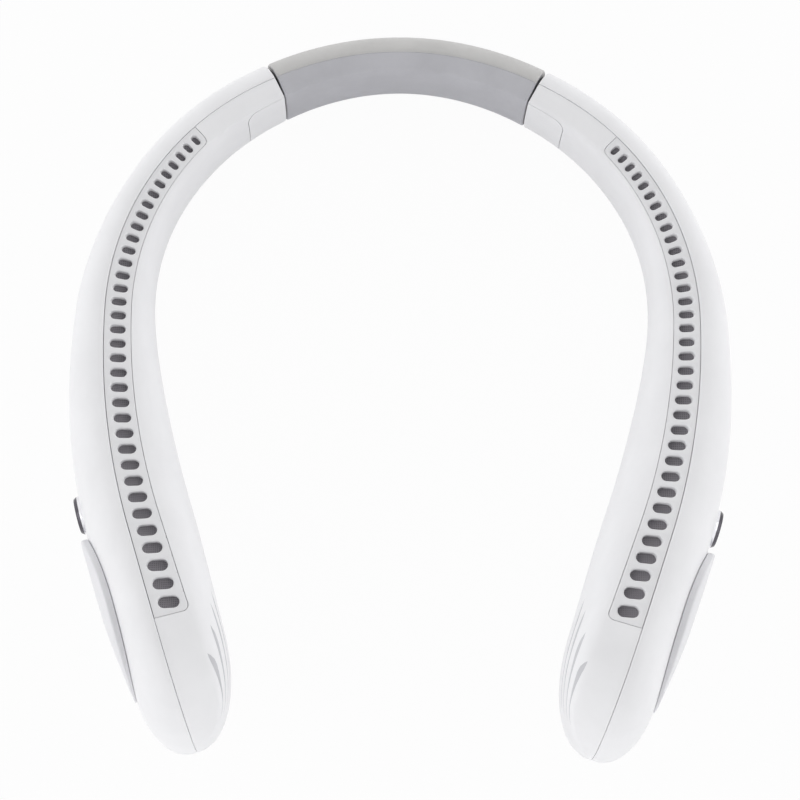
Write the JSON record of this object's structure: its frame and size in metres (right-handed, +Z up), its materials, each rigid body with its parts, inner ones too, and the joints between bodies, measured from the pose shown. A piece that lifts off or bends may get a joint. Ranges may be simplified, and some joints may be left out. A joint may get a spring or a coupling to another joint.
{
  "type": "electric neck fan",
  "caption": "Hands-free neck fan: two curved arms hinged to a soft band, each with a bladed blower in its rounded tip that feeds a row of slots along the top",
  "frame": {"origin": "middle of the whole part's box, on the surface that it lies on", "axes": "+Z up out of the slotted side, +Y towards the back of the neck, where the band is, -Y towards the tips, +X to the right as seen from the slotted side with the band at the top"},
  "size_m": [0.2008, 0.2286, 0.0599],
  "materials": {
    "silicone_grey": "soft satin",
    "core_dark": "matte",
    "spring_steel": "satin",
    "pin_steel": "satin",
    "cable_black": "matte",
    "hinge_grey": "satin",
    "shell_white": "satin",
    "shell_inner": "satin",
    "strip_grey": "satin",
    "duct_dark": "matte",
    "frame_pale": "matte",
    "cover_pale": "satin",
    "wheel_grey": "satin",
    "magnet_steel": "satin",
    "winding_copper": "satin",
    "cell_wrap": "gloss wrap",
    "board_green": "satin",
    "switch_black": "satin",
    "bright_ring": "polished",
    "button_white": "gloss",
    "light_clear": "gloss"
  },
  "bodies": {
    "band": {"neck_band": "silicone_grey", "band_core": "core_dark", "spring_strip": "spring_steel", "spring_rivets": "pin_steel", "link_cable": "cable_black", "left_band_knuckle": "hinge_grey", "right_band_knuckle": "hinge_grey"},
    "left_arm": {"left_outer_shell": "shell_white", "left_inner_shell": "shell_inner", "left_outlet_grille": "strip_grey", "left_air_duct": "duct_dark", "left_arm_frame": "frame_pale", "left_intake_cover": "cover_pale", "left_intake_guard": "duct_dark", "left_fan_housing": "duct_dark", "left_motor_bearings": "pin_steel", "left_motor_stator": "winding_copper", "left_battery": "cell_wrap", "left_circuit_board": "board_green", "left_button_switch": "switch_black", "left_button_bezel": "bright_ring", "left_hinge_bracket": "hinge_grey", "left_hinge_pin": "pin_steel", "left_hinge_cover": "shell_inner", "left_blower_screws": "pin_steel"},
    "left_rotor": {"left_impeller": "wheel_grey", "left_rotor_ring": "magnet_steel", "left_motor_shaft": "pin_steel"},
    "left_button": {"left_button": "button_white"},
    "right_arm": {"right_outer_shell": "shell_white", "right_inner_shell": "shell_inner", "right_outlet_grille": "strip_grey", "right_air_duct": "duct_dark", "right_arm_frame": "frame_pale", "right_intake_cover": "cover_pale", "right_intake_guard": "duct_dark", "right_fan_housing": "duct_dark", "right_motor_bearings": "pin_steel", "right_motor_stator": "winding_copper", "right_battery": "cell_wrap", "right_circuit_board": "board_green", "right_button_switch": "switch_black", "right_button_bezel": "bright_ring", "right_hinge_bracket": "hinge_grey", "right_hinge_pin": "pin_steel", "right_hinge_cover": "shell_inner", "right_blower_screws": "pin_steel", "usb_socket": "pin_steel", "charge_light": "light_clear"},
    "right_rotor": {"right_impeller": "wheel_grey", "right_rotor_ring": "magnet_steel", "right_motor_shaft": "pin_steel"},
    "right_button": {"right_button": "button_white"}
  },
  "joints": [
    {"name": "left_arm_hinge", "type": "hinge", "parent": "band", "child": "left_arm", "pos_m": [-0.03985, 0.09397, 0.01317], "axis": [0, 0, -1], "range_deg": [-3.5, 5.5]},
    {"name": "right_arm_hinge", "type": "hinge", "parent": "band", "child": "right_arm", "pos_m": [0.03985, 0.09397, 0.01317], "axis": [0, 0, 1], "range_deg": [-3.5, 5.5]},
    {"name": "left_rotor_spin", "type": "hinge", "parent": "left_arm", "child": "left_rotor", "pos_m": [-0.06979, -0.07579, 0.03], "axis": [-0.9483, -0.3173, 0], "continuous": true},
    {"name": "right_rotor_spin", "type": "hinge", "parent": "right_arm", "child": "right_rotor", "pos_m": [0.06979, -0.07579, 0.03], "axis": [0.9483, -0.3173, 0], "continuous": true},
    {"name": "left_button_press", "type": "slide", "parent": "left_arm", "child": "left_button", "axis": [0.9637, 0.2672, 0], "range_m": [0, 0.0006], "stiffness_N_per_m": 2500, "springref_m": -0.0004},
    {"name": "right_button_press", "type": "slide", "parent": "right_arm", "child": "right_button", "axis": [-0.9637, 0.2672, 0], "range_m": [0, 0.0006], "stiffness_N_per_m": 2500, "springref_m": -0.0004}
  ]
}
